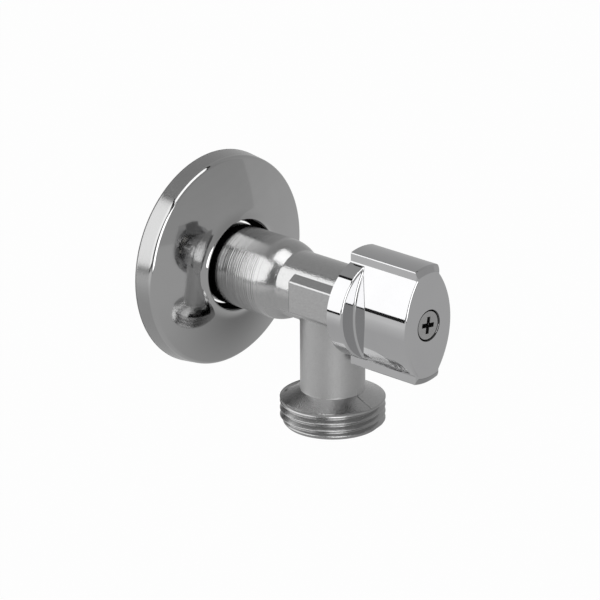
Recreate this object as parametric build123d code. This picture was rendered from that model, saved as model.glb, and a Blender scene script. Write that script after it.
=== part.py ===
"""Angle valve with a wall plate, a quarter-turn ceramic headwork and a ribbed knob.

Millimetres. The wall is the plane y = 0 and the valve's axis runs out of it along -Y, with +Z up
and the outlet pointing down. A station is a distance out of the wall, measured along the axis.
"""
import math
import os

from build123d import *

# Pipe threads: half inch at the wall, three quarter inch at the hose, 14 turns to the inch
INLET_THREAD_D = 20.955
OUTLET_THREAD_D = 26.441
THREAD_PITCH = 1.814
THREAD_DEPTH = 1.162
THREAD_LAND = 0.32
THREAD_FLANK_DEG = 27.5
INLET_THREAD_LENGTH = 14.0
OUTLET_THREAD_LENGTH = 7.0
THREAD_LEAD = 1.6
THREAD_RELIEF = 2.0

# Valve body
INLET_DEPTH = 12.0
TUBE_D = 20.6
BALL_REACH = 23.9
BALL_D = 21.7
BALL_FILLET = 1.6
BARREL_D = 16.9
OUTLET_REACH = 41.25
OUTLET_TUBE_D = 16.25
OUTLET_DROP = 33.9
OUTLET_SHOULDER = 2.2
OUTLET_CHAMFER = 0.2
OUTLET_BORE_D = 12.0
INLET_BORE_D = 11.0
PORT_D = 8.8
PORT_LENGTH = 3.0
SEAT_SETBACK = 8.25
PAD_START_SETBACK = 7.1
PAD_ACROSS_FLATS = 17.3
PAD_HEIGHT = 8.1
PAD_SLOPE_RUN = 3.9
PAD_SLOPE_DEG = 33.0
PAD_CORNER_R = 0.5
PAD_EDGE_R = 0.6
ROOT_FILLET = 0.8

# Wall plate
PLATE_D = 55.4
PLATE_RIM_HEIGHT = 5.1
PLATE_RIM_DRAFT = 0.6
PLATE_CORNER_R = 1.0
PLATE_SHEET = 0.5
PLATE_CROWN_SPAN = 8.5
PLATE_CROWN_RISE = 1.82
PLATE_CROWN_R = 60.0
PLATE_FACE_RISE = 2.22
PLATE_HUB_FILLET = 2.4
PLATE_HUB_REACH = 10.4
PLATE_LIP_R = 0.2
PLATE_CLEARANCE = 0.5

# Headwork: seal, discs and spindle stacked out of the seat
SEAL_HEIGHT = 3.0
SEAL_WALL = 0.75
SUPPORT_CLEARANCE = 0.05
SUPPORT_WALL = 0.4
DISC_D = 10.6
DISC_THICKNESS = 2.2
DISC_HUB_D = 3.2
DISC_WINDOW_DEG = 80.0
DISC_RIM = 1.2
WATER_FILM = 0.02
DRIVE_BAR_WIDTH = 3.0
DRIVE_BAR_DEPTH = 1.2
SPINDLE_FLANGE = 2.4
SPINDLE_D = 8.0
WASHER_THICKNESS = 0.6
SHAFT_CLEARANCE = 0.05
DISC_CLEARANCE = 0.1
SKIRT_WALL = 1.0
SKIRT_GAP = 0.6
SKIRT_SLOT_WIDTH = 5.0
CHAMBER_GAP = 0.5
SHOULDER_WALL = 1.4
HEADWORK_THREAD_D = 14.0
HEADWORK_THREAD_LENGTH = 5.6
THREAD_CLEARANCE = 0.03
SEAL_RING_SECTION = 1.0
SEAL_RING_ROOM = 0.4
FLANGE_THICKNESS = 0.6
FLANGE_STEP = 0.1
HEX_ACROSS_FLATS = 15.0
HEX_HEIGHT = 2.2
NECK_HEIGHT = 5.4
NECK_WALL = 1.55
RING_GROOVE_DEPTH = 0.9
RING_CLEARANCE = 0.03
RING_PITCH = 3.4
CLIP_THICKNESS = 0.7
CLIP_WIDTH = 1.2
CLIP_GROOVE_DEPTH = 0.5
CLIP_MOUTH = 2.6

# Knob and its screw
KNOB_D = 30.3
KNOB_OVERLAP = 0.8
KNOB_COLLAR_D = 25.7
KNOB_COLLAR_WALL = 1.9
KNOB_SHOULDER_WALL = 0.95
KNOB_GRIP_WIDTH = 16.7
KNOB_FLANK_R = 20.2
KNOB_RIB_WIDTH = 8.2
KNOB_NOSE_SETBACK = 0.8
KNOB_NOSE_STEP = 1.7
KNOB_WEB = 3.05
KNOB_NOSE_R = 0.5
KNOB_EDGE_R = 0.6
KNOB_RIB_R = 0.4
KNOB_RIB_ROOT_R = 0.35
KNOB_SHOULDER_R = 0.6
KNOB_ROOM = 0.35
KNOB_NECK_ROOM = 0.8
SPLINE_TEETH = 20
SPLINE_DEPTH = 0.45
SPLINE_LENGTH = 5.8
SPLINE_CLEARANCE = 0.05
SPINDLE_END_ROOM = 0.4
SCREW_D = 4.0
SCREW_HEAD_D = 7.5
SCREW_LENGTH = 12.0
SCREW_HOLE_CLEARANCE = 0.2
SCREW_HEAD_ROOM = 0.3
SCREW_SINK = 0.25
SCREW_TAP_ROOM = 1.0
SCREW_POINT = 0.6
CROSS_WIDTH = 1.15
CROSS_SPAN = 4.3
CROSS_DEPTH = 1.8
CROSS_TURN_DEG = -9.0

# How far a cut runs past what it cuts, and how closely an edge picked by its radius must match
CUT_OVER = 1.0
FILLET_SHARE = 0.98
EDGE_MATCH = 0.001

# Stations along the axis, each built on the one before
INLET_END = -INLET_DEPTH
INLET_THREAD_TOP = INLET_END + INLET_THREAD_LENGTH
TUBE_START = INLET_THREAD_TOP + THREAD_RELIEF
SEAT = OUTLET_REACH - SEAT_SETBACK
SEAL_TOP = SEAT + SEAL_HEIGHT
FIXED_TOP = SEAL_TOP + DISC_THICKNESS
TURNING_LOW = FIXED_TOP + WATER_FILM
TURNING_TOP = TURNING_LOW + DISC_THICKNESS
SPINDLE_FLANGE_TOP = TURNING_TOP + SPINDLE_FLANGE
WASHER_LOW = SPINDLE_FLANGE_TOP + WATER_FILM
WASHER_TOP = WASHER_LOW + WASHER_THICKNESS
SKIRT_LOW = SEAT + SKIRT_GAP
HEADWORK_THREAD_LOW = WASHER_TOP + SHOULDER_WALL
HEADWORK_THREAD_TOP = HEADWORK_THREAD_LOW + HEADWORK_THREAD_LENGTH
MOUTH = HEADWORK_THREAD_TOP + SEAL_RING_SECTION + SEAL_RING_ROOM
HEX_LOW = MOUTH + FLANGE_THICKNESS
HEX_TOP = HEX_LOW + HEX_HEIGHT
NECK_TOP = HEX_TOP + NECK_HEIGHT
CLIP_LOW = NECK_TOP + WATER_FILM
CLIP_TOP = CLIP_LOW + CLIP_THICKNESS
KNOB_BACK = MOUTH - KNOB_OVERLAP
KNOB_CAVITY_FLOOR = HEX_TOP + KNOB_ROOM
KNOB_SHOULDER = KNOB_CAVITY_FLOOR + KNOB_SHOULDER_WALL
KNOB_NECK_FLOOR = CLIP_TOP + KNOB_NECK_ROOM
SPLINE_LOW = KNOB_NECK_FLOOR
SPINDLE_END = SPLINE_LOW + SPLINE_LENGTH
SOCKET_FLOOR = SPINDLE_END + SPINDLE_END_ROOM
SCREW_CONE = (SCREW_HEAD_D - SCREW_D) / 2
SCREW_TOP = SOCKET_FLOOR + KNOB_WEB + SCREW_CONE
KNOB_FRONT = SCREW_TOP + SCREW_SINK

# Radii that more than one piece shares
DISC_R = DISC_D / 2
SKIRT_BORE_R = DISC_R + DISC_CLEARANCE
SKIRT_R = SKIRT_BORE_R + SKIRT_WALL
CHAMBER_R = SKIRT_R + CHAMBER_GAP
HEADWORK_THREAD_R = HEADWORK_THREAD_D / 2
SPINDLE_R = SPINDLE_D / 2
SPINDLE_BORE_R = SPINDLE_R + SHAFT_CLEARANCE
NECK_R = SPINDLE_BORE_R + NECK_WALL
BARREL_R = BARREL_D / 2
TUBE_R = TUBE_D / 2
SEAL_RING_INNER_R = SKIRT_R + RING_CLEARANCE
SEAL_RING_OUTER_R = SEAL_RING_INNER_R + SEAL_RING_SECTION
COUNTERBORE_R = SEAL_RING_OUTER_R + RING_CLEARANCE
KNOB_R = KNOB_D / 2
KNOB_COLLAR_R = KNOB_COLLAR_D / 2
KNOB_CAVITY_R = KNOB_COLLAR_R - KNOB_COLLAR_WALL
HUB_BORE_R = TUBE_R + PLATE_CLEARANCE


def turned(corners):
    """Solid of revolution about the valve's axis from (radius, station) corners."""
    outline = [(radius, -station) for radius, station in corners]
    return revolve(make_face(Polyline(*outline, close=True)), Axis.Y)


def rod(radius, low, high):
    """Round bar about the valve's axis between two stations."""
    return turned([(0, low), (radius, low), (radius, high), (0, high)])


def ring(inner, outer, low, high):
    """Plain ring about the valve's axis between two stations."""
    return turned([(inner, low), (outer, low), (outer, high), (inner, high)])


def across(station):
    """Plane square to the axis: its x is +X, its y is +Z and it faces out of the wall."""
    return Plane(origin=(0, -station, 0), x_dir=(1, 0, 0), z_dir=(0, -1, 0))


def bar(section, low, high):
    """Section drawn in X and Z, carried along the axis between two stations."""
    return extrude(across(low) * section, high - low)


def o_ring(inner, outer, middle):
    """Round-section ring about the valve's axis, centred on a station."""
    section = (outer - inner) / 2
    circle = Pos((inner + outer) / 2, -middle) * Circle(section)
    return revolve(circle, Axis.Y)


def ridge_corners(crest, first, last):
    """Corners of the thread ridges whose middles run from one station up to another at most."""
    root = crest - THREAD_DEPTH
    flank = THREAD_DEPTH * math.tan(math.radians(THREAD_FLANK_DEG))
    half_land = THREAD_LAND / 2
    corners = []
    for turn in range(int((last - first) / THREAD_PITCH) + 1):
        middle = first + turn * THREAD_PITCH
        corners += [
            (root, middle - half_land - flank),
            (crest, middle - half_land),
            (crest, middle + half_land),
            (root, middle + half_land + flank),
        ]
    return corners


def inlet_shape():
    """Inlet thread, relief groove, turned tube, ball and barrel as one turned outline."""
    crest = INLET_THREAD_D / 2
    ball_r = BALL_D / 2
    root = crest - THREAD_DEPTH
    outline = [(root, INLET_END)]
    outline += ridge_corners(crest, INLET_END + THREAD_LEAD, INLET_THREAD_TOP - THREAD_PITCH / 2)
    outline += [(root, TUBE_START), (TUBE_R, TUBE_START + THREAD_DEPTH)]
    tube_meets_ball = BALL_REACH - math.sqrt(ball_r ** 2 - TUBE_R ** 2)
    stem = turned([(0, INLET_END)] + outline + [(TUBE_R, BALL_REACH), (0, BALL_REACH)])
    ball = Pos(0, -BALL_REACH, 0) * Sphere(ball_r)
    barrel = rod(BARREL_R, tube_meets_ball, MOUTH)
    joined = barrel + ball
    seam = [
        edge
        for edge in joined.edges().filter_by(GeomType.CIRCLE)
        if math.isclose(edge.radius, BARREL_R, rel_tol=EDGE_MATCH) and -edge.center().Y < OUTLET_REACH
    ]
    return fillet(seam, BALL_FILLET) + stem


def spanner_pads():
    """Two flat pads on the barrel's sides, with sloping tops and rounded ends."""
    start = OUTLET_REACH - PAD_START_SETBACK
    half_across = PAD_ACROSS_FLATS / 2
    half_height = PAD_HEIGHT / 2
    rise = PAD_SLOPE_RUN * math.tan(math.radians(PAD_SLOPE_DEG))
    inner = half_across - PAD_SLOPE_RUN
    section = make_face(
        Polyline(
            (half_across, -half_height),
            (half_across, half_height),
            (inner, half_height + rise),
            (-inner, half_height + rise),
            (-half_across, half_height),
            (-half_across, -half_height),
            (-inner, -half_height - rise),
            (inner, -half_height - rise),
            close=True,
        )
    )
    crests = [corner for corner in section.vertices() if abs(corner.X) > inner + EDGE_MATCH]
    block = bar(fillet(crests, PAD_EDGE_R), start, MOUTH)
    ends = block.faces().sort_by(Axis.Y)[-1].edges()
    return fillet(ends, PAD_CORNER_R)


def outlet_shape():
    """Outlet tube, sloping shoulder and hose thread about the outlet's own upright axis."""
    crest = OUTLET_THREAD_D / 2
    tube = OUTLET_TUBE_D / 2
    thread_top = OUTLET_DROP - OUTLET_THREAD_LENGTH
    shoulder_top = thread_top - OUTLET_SHOULDER
    root = crest - THREAD_DEPTH
    ridges = ridge_corners(crest, thread_top + THREAD_LAND / 2, OUTLET_DROP - THREAD_PITCH / 2)
    corners = [(0, 0), (tube, 0), (tube, shoulder_top)] + ridges[1:]
    corners += [(root, OUTLET_DROP - OUTLET_CHAMFER), (root - OUTLET_CHAMFER, OUTLET_DROP), (0, OUTLET_DROP)]
    outline = Plane.XZ * make_face(Polyline(*[(radius, -drop) for radius, drop in corners], close=True))
    return Pos(0, -OUTLET_REACH, 0) * revolve(outline, Axis.Z)


def outlet_joined(barrel):
    """Barrel and outlet tube as one solid, with the corner between them rounded."""
    joined = barrel + outlet_shape()
    walls = joined.faces().filter_by(GeomType.CYLINDER)
    tube = [wall for wall in walls if math.isclose(wall.radius, OUTLET_TUBE_D / 2, rel_tol=EDGE_MATCH)]
    rims = [edge for wall in tube for edge in wall.edges()]
    seam = [edge for edge in rims if edge.geom_type in (GeomType.BSPLINE, GeomType.ELLIPSE)]
    return fillet(seam, ROOT_FILLET)


def valve_body():
    """Cast and turned body with its water ways cut through."""
    solid = outlet_joined(inlet_shape() + spanner_pads())
    thread_bore = HEADWORK_THREAD_R + THREAD_CLEARANCE
    water_way = turned(
        [
            (0, INLET_END),
            (INLET_BORE_D / 2, INLET_END),
            (INLET_BORE_D / 2, SEAT - PORT_LENGTH),
            (PORT_D / 2, SEAT - PORT_LENGTH),
            (PORT_D / 2, SEAT),
            (CHAMBER_R, SEAT),
            (CHAMBER_R, HEADWORK_THREAD_LOW),
            (thread_bore, HEADWORK_THREAD_LOW),
            (thread_bore, HEADWORK_THREAD_TOP),
            (COUNTERBORE_R, HEADWORK_THREAD_TOP),
            (COUNTERBORE_R, MOUTH),
            (0, MOUTH),
        ]
    )
    down = Pos(0, -OUTLET_REACH, -OUTLET_DROP / 2) * Cylinder(OUTLET_BORE_D / 2, OUTLET_DROP)
    return solid - water_way - down


def escutcheon():
    """Pressed plate: drafted rim, rounded corner, gently domed face and a drawn hub."""
    rim_r = PLATE_D / 2
    corner_r = rim_r - PLATE_RIM_DRAFT
    hub_r = HUB_BORE_R + PLATE_SHEET
    foot = PLATE_RIM_HEIGHT + PLATE_FACE_RISE
    crown_r = hub_r + PLATE_CROWN_SPAN
    fall = math.atan2(PLATE_CROWN_RISE, corner_r - crown_r)
    lean = math.atan2(PLATE_FACE_RISE - PLATE_CROWN_RISE, PLATE_CROWN_SPAN)
    draft = math.atan2(PLATE_RIM_DRAFT, PLATE_RIM_HEIGHT)
    corner_room = PLATE_CORNER_R * math.tan((math.pi / 2 - draft - fall) / 2)
    hub_room = PLATE_HUB_FILLET * math.tan((math.pi / 2 - lean) / 2)
    outer_room = math.hypot(corner_r - crown_r, PLATE_CROWN_RISE) - corner_room
    inner_room = math.hypot(PLATE_CROWN_SPAN, PLATE_FACE_RISE - PLATE_CROWN_RISE) - hub_room
    crown_limit = FILLET_SHARE * min(outer_room, inner_room) / math.tan((fall - lean) / 2)
    skin = FilletPolyline(
        (rim_r, 0),
        (corner_r, -PLATE_RIM_HEIGHT),
        (crown_r, -PLATE_RIM_HEIGHT - PLATE_CROWN_RISE),
        (hub_r, -foot),
        (hub_r, -PLATE_HUB_REACH),
        radius=[PLATE_CORNER_R, min(PLATE_CROWN_R, crown_limit), PLATE_HUB_FILLET],
    )
    sheet = skin.wire().offset_2d(PLATE_SHEET, side=Side.RIGHT, closed=True)
    plate = revolve(make_face(sheet), Axis.Y) - rod(PLATE_D / 2, -PLATE_SHEET, 0)
    lip = [
        edge
        for edge in plate.edges().filter_by(GeomType.CIRCLE)
        if abs(edge.center().Y + PLATE_HUB_REACH) < PLATE_LIP_R
    ]
    return fillet(lip, PLATE_LIP_R)


def headwork_body():
    """Brass housing: slotted skirt, thread, flange, hexagon and spindle neck."""
    hex_r = HEX_ACROSS_FLATS / math.sqrt(3)
    flange_r = BARREL_R - FLANGE_STEP
    shell = turned(
        [
            (0, SKIRT_LOW),
            (SKIRT_R, SKIRT_LOW),
            (SKIRT_R, HEADWORK_THREAD_LOW),
            (HEADWORK_THREAD_R, HEADWORK_THREAD_LOW),
            (HEADWORK_THREAD_R, HEADWORK_THREAD_TOP),
            (SKIRT_R, HEADWORK_THREAD_TOP),
            (SKIRT_R, MOUTH),
            (flange_r, MOUTH),
            (flange_r, HEX_LOW),
            (NECK_R, HEX_LOW),
            (NECK_R, NECK_TOP),
            (0, NECK_TOP),
        ]
    )
    shell += bar(RegularPolygon(hex_r, 6), HEX_LOW, HEX_TOP)
    shell -= rod(SPINDLE_BORE_R, WASHER_TOP, NECK_TOP)
    shell -= rod(SKIRT_BORE_R, SKIRT_LOW, WASHER_TOP)
    slot = Rectangle(SKIRT_SLOT_WIDTH, 2 * (SKIRT_R + CUT_OVER))
    return shell - bar(slot, SKIRT_LOW, WASHER_LOW)


def headwork_seal_ring():
    """O-ring under the housing's flange."""
    return o_ring(SEAL_RING_INNER_R, SEAL_RING_OUTER_R, MOUTH - SEAL_RING_SECTION / 2)


def ring_station(place):
    """Middle of one of the spindle's two ring grooves, counted from the inside."""
    return HEADWORK_THREAD_LOW + RING_GROOVE_DEPTH + SHOULDER_WALL + place * RING_PITCH


def spline(radius):
    """Toothed outline of the splined head, with straight-sided teeth."""
    tips = 2 * SPLINE_TEETH
    step = 2 * math.pi / tips
    radii = [radius if tooth % 2 == 0 else radius - SPLINE_DEPTH for tooth in range(tips)]
    corners = [
        (tooth_r * math.cos(step * tooth), tooth_r * math.sin(step * tooth))
        for tooth, tooth_r in enumerate(radii)
    ]
    return make_face(Polyline(*corners, close=True))


def spindle():
    """Turned spindle with a drive bar, a flange, ring grooves, a clip groove and a splined head."""
    groove_r = SPINDLE_R - RING_GROOVE_DEPTH
    clip_r = SPINDLE_R - CLIP_GROOVE_DEPTH
    solid = rod(DISC_R, TURNING_TOP, SPINDLE_FLANGE_TOP)
    solid += rod(SPINDLE_R, SPINDLE_FLANGE_TOP, SPLINE_LOW)
    solid += bar(spline(SPINDLE_R), SPLINE_LOW, SPINDLE_END)
    for place in range(2):
        middle = ring_station(place)
        half = RING_GROOVE_DEPTH / 2 + RING_CLEARANCE
        solid -= ring(groove_r, SPINDLE_R, middle - half, middle + half)
    solid -= ring(clip_r, SPINDLE_R, CLIP_LOW, CLIP_TOP)
    drive_bar = Rectangle(2 * DISC_R, DRIVE_BAR_WIDTH) & Circle(DISC_R)
    solid += bar(drive_bar, TURNING_TOP - DRIVE_BAR_DEPTH, TURNING_TOP)
    tap_low = SCREW_TOP - SCREW_LENGTH - SCREW_TAP_ROOM
    return solid - rod(SCREW_D / 2 + THREAD_CLEARANCE, tap_low, SPINDLE_END)


def spindle_ring(place):
    """O-ring in one of the spindle's grooves."""
    inner = SPINDLE_R - RING_GROOVE_DEPTH + RING_CLEARANCE
    return o_ring(inner, SPINDLE_BORE_R - RING_CLEARANCE, ring_station(place))


def slide_washer():
    """Slippery washer between the spindle's flange and the housing."""
    return ring(SPINDLE_BORE_R, SKIRT_BORE_R - DISC_CLEARANCE, WASHER_LOW, WASHER_TOP)


def spindle_clip():
    """Open retaining clip in the spindle's groove."""
    inner = SPINDLE_R - CLIP_GROOVE_DEPTH + RING_CLEARANCE
    whole = ring(inner, SPINDLE_R + CLIP_WIDTH, CLIP_LOW, CLIP_TOP)
    reach = SPINDLE_R + CLIP_WIDTH + CUT_OVER
    mouth = Pos(reach / 2, 0) * Rectangle(reach, CLIP_MOUTH)
    return whole - bar(mouth, CLIP_LOW, CLIP_TOP)


def disc_window(outer):
    """Two opposite sectors that let the water through a disc, above and below its middle."""
    half = math.radians(DISC_WINDOW_DEG / 2)
    far = 2 * outer
    wedge = make_face(
        Polyline((0, 0), (far * math.sin(half), far * math.cos(half)),
                 (-far * math.sin(half), far * math.cos(half)), close=True)
    )
    sectors = wedge + Rot(0, 0, 180) * wedge
    return (sectors & Circle(outer)) - Circle(DISC_HUB_D / 2)


def turning_disc():
    """Ceramic disc with two sectors open to its rim and a slot for the drive bar."""
    disc = rod(DISC_R, TURNING_LOW, TURNING_TOP) - bar(disc_window(DISC_R), TURNING_LOW, TURNING_TOP)
    slot = Rectangle(2 * DISC_R, DRIVE_BAR_WIDTH + 2 * RING_CLEARANCE)
    slot_low = TURNING_TOP - DRIVE_BAR_DEPTH - RING_CLEARANCE
    return disc - bar(slot, slot_low, TURNING_TOP)


def fixed_disc():
    """Ceramic disc with two sector holes and two lugs in the housing's slots."""
    lug_width = SKIRT_SLOT_WIDTH - 2 * DISC_CLEARANCE
    plan = Circle(DISC_R) + (Rectangle(lug_width, 2 * SKIRT_R) & Circle(SKIRT_R))
    plan -= disc_window(DISC_R - DISC_RIM)
    return bar(plan, SEAL_TOP, FIXED_TOP)


def disc_seal():
    """Rubber ring between the body's seat and the fixed disc."""
    return ring(DISC_R - SEAL_WALL, DISC_R, SEAT, SEAL_TOP)


def seal_support():
    """Stiff ring that keeps the rubber ring round."""
    outer = DISC_R - SEAL_WALL - SUPPORT_CLEARANCE
    return ring(outer - SUPPORT_WALL, outer, SEAT, SEAL_TOP)


def knob_plan():
    """Grip seen from the front: two curved flanks with a rib above and below, corners rounded."""
    offset_x = KNOB_FLANK_R - KNOB_GRIP_WIDTH / 2
    flanks = Pos(offset_x, 0) * Circle(KNOB_FLANK_R) & Pos(-offset_x, 0) * Circle(KNOB_FLANK_R)
    plan = (flanks + Rectangle(KNOB_RIB_WIDTH, KNOB_D)) & Circle(KNOB_R)
    by_height = plan.vertices().sort_by(lambda corner: abs(corner.Y))
    plan = fillet(by_height[4:], KNOB_RIB_R)
    by_height = plan.vertices().sort_by(lambda corner: abs(corner.Y))
    return fillet(by_height[:4], KNOB_RIB_ROOT_R)


def front_rims(solid, station):
    """Round edges of a solid that lie at a station or further out of the wall."""
    rims = solid.edges().filter_by(GeomType.CIRCLE)
    return [edge for edge in rims if -edge.center().Y > station - EDGE_MATCH]


def knob_grip():
    """Flanked grip with its front edge rounded and its ribs' ends turned to a nose."""
    nose_low = KNOB_FRONT - KNOB_NOSE_SETBACK
    envelope = turned(
        [
            (0, KNOB_BACK),
            (KNOB_R, KNOB_BACK),
            (KNOB_R, nose_low),
            (KNOB_R - KNOB_NOSE_STEP, KNOB_FRONT),
            (0, KNOB_FRONT),
        ]
    )
    block = bar(knob_plan(), KNOB_BACK, KNOB_FRONT)
    block = fillet(block.faces().sort_by(Axis.Y)[0].edges(), KNOB_EDGE_R)
    return block & fillet(front_rims(envelope, nose_low), KNOB_NOSE_R)


def knob():
    """Round collar and flanked grip with a hollow back, a splined socket and a screw seat."""
    collar = rod(KNOB_COLLAR_R, KNOB_BACK, KNOB_SHOULDER)
    solid = knob_grip() + fillet(front_rims(collar, KNOB_SHOULDER), KNOB_EDGE_R)
    corners = [
        edge
        for edge in front_rims(solid, KNOB_SHOULDER)
        if math.isclose(edge.radius, KNOB_FLANK_R, rel_tol=EDGE_MATCH)
        and math.isclose(-edge.center().Y, KNOB_SHOULDER, rel_tol=EDGE_MATCH)
    ]
    solid = fillet(corners, KNOB_SHOULDER_R)
    hollow = rod(KNOB_CAVITY_R, KNOB_BACK, KNOB_CAVITY_FLOOR)
    hollow += rod(NECK_R + KNOB_ROOM, KNOB_BACK, KNOB_NECK_FLOOR)
    socket = bar(spline(SPINDLE_R + SPLINE_CLEARANCE), KNOB_NECK_FLOOR, SOCKET_FLOOR)
    hole_r = SCREW_D / 2 + SCREW_HOLE_CLEARANCE
    head_r = SCREW_HEAD_D / 2 + SCREW_HEAD_ROOM
    cone_low = SCREW_TOP - SCREW_CONE
    seat = turned(
        [
            (0, SOCKET_FLOOR),
            (hole_r, SOCKET_FLOOR),
            (hole_r, cone_low),
            (head_r, SCREW_TOP),
            (head_r, KNOB_FRONT),
            (0, KNOB_FRONT),
        ]
    )
    return solid - hollow - socket - seat


def knob_screw():
    """Countersunk screw with a cross recess."""
    head_r = SCREW_HEAD_D / 2
    cone_low = SCREW_TOP - SCREW_CONE
    tip = SCREW_TOP - SCREW_LENGTH
    shank_r = SCREW_D / 2
    solid = turned(
        [
            (0, tip),
            (shank_r - SCREW_POINT, tip),
            (shank_r, tip + SCREW_POINT),
            (shank_r, cone_low),
            (head_r, SCREW_TOP),
            (0, SCREW_TOP),
        ]
    )
    cross = Rectangle(CROSS_WIDTH, CROSS_SPAN) + Rectangle(CROSS_SPAN, CROSS_WIDTH)
    return solid - bar(Rot(0, 0, CROSS_TURN_DEG) * cross, SCREW_TOP - CROSS_DEPTH, SCREW_TOP)


PIECES = {
    "valve_body": valve_body,
    "escutcheon": escutcheon,
    "headwork_body": headwork_body,
    "headwork_seal_ring": headwork_seal_ring,
    "spindle": spindle,
    "spindle_ring_lower": lambda: spindle_ring(0),
    "spindle_ring_upper": lambda: spindle_ring(1),
    "slide_washer": slide_washer,
    "spindle_clip": spindle_clip,
    "turning_disc": turning_disc,
    "fixed_disc": fixed_disc,
    "disc_seal": disc_seal,
    "seal_support": seal_support,
    "knob": knob,
    "knob_screw": knob_screw,
}

os.makedirs("parts", exist_ok=True)
for name, make in PIECES.items():
    export_step(make(), f"parts/{name}.step")
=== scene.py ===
"""Studio scene of a chrome angle valve: finishes, helical threads, spun plate, light and camera.

Metres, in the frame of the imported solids: the wall is the plane y = 0, the valve's axis runs out of
it along -Y, +Z is up and the outlet points down. A station is a distance out of the wall, and a drop
is a distance below the valve's axis.
"""
import logging
import math
from dataclasses import dataclass
from enum import Enum

import bmesh
import bpy
import numpy as np
from mathutils import Matrix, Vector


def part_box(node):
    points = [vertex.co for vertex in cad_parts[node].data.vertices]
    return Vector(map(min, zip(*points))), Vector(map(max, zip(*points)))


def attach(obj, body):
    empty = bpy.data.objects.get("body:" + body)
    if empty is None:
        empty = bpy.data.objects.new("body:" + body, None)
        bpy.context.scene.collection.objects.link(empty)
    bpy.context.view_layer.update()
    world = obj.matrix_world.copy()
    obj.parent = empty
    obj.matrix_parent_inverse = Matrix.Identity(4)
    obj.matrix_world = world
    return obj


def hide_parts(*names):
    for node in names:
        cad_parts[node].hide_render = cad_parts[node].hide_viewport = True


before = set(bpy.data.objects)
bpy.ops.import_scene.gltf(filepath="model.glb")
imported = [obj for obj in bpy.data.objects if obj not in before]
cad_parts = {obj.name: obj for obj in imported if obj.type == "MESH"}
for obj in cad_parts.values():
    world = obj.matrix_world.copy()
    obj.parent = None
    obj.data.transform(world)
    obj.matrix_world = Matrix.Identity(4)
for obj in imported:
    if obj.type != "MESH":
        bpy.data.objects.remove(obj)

LOG = logging.getLogger("angle_valve")
MM = 0.001

# Point that the studio cards face
VIEW_CENTRE = (0.0, -0.035, 0.0)

# Sockets of a Mix node that its values and its colours go to, and the output of its colours
MIX_VALUES = (2, 3)
MIX_COLOURS = (6, 7)
MIX_COLOUR_OUT = 2

# Wear of plated surfaces: scales per millimetre, and shares of the reflectance; then the share of the
# reflectance left where a bore is painted dark as shade, and the half width of a sharp step in millimetres
HAZE_SCALE = (0.12, 0.12, 0.12)
HAZE_TINT = 0.04
SCRATCH_SCALE = (0.25, 6.0, 5.0)
SCRATCH_SHOWS = (0.6, 0.8)
SCRATCH_ROUGHNESS = 0.1
BORE_SHADE = 0.06
EDGE_BLUR = 0.05


class Body(Enum):
    """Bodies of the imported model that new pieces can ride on."""

    VALVE = "body"
    PLATE = "wall_plate"


class GlowOver(Enum):
    """Parts of a mesh that a glow is given for."""

    FACES = "FACE"
    POINTS = "POINT"


class Ray(Enum):
    """Kinds of ray that are shown the white background."""

    CAMERA = "Is Camera Ray"
    GLOSSY = "Is Glossy Ray"
    TRANSMISSION = "Is Transmission Ray"


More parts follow.
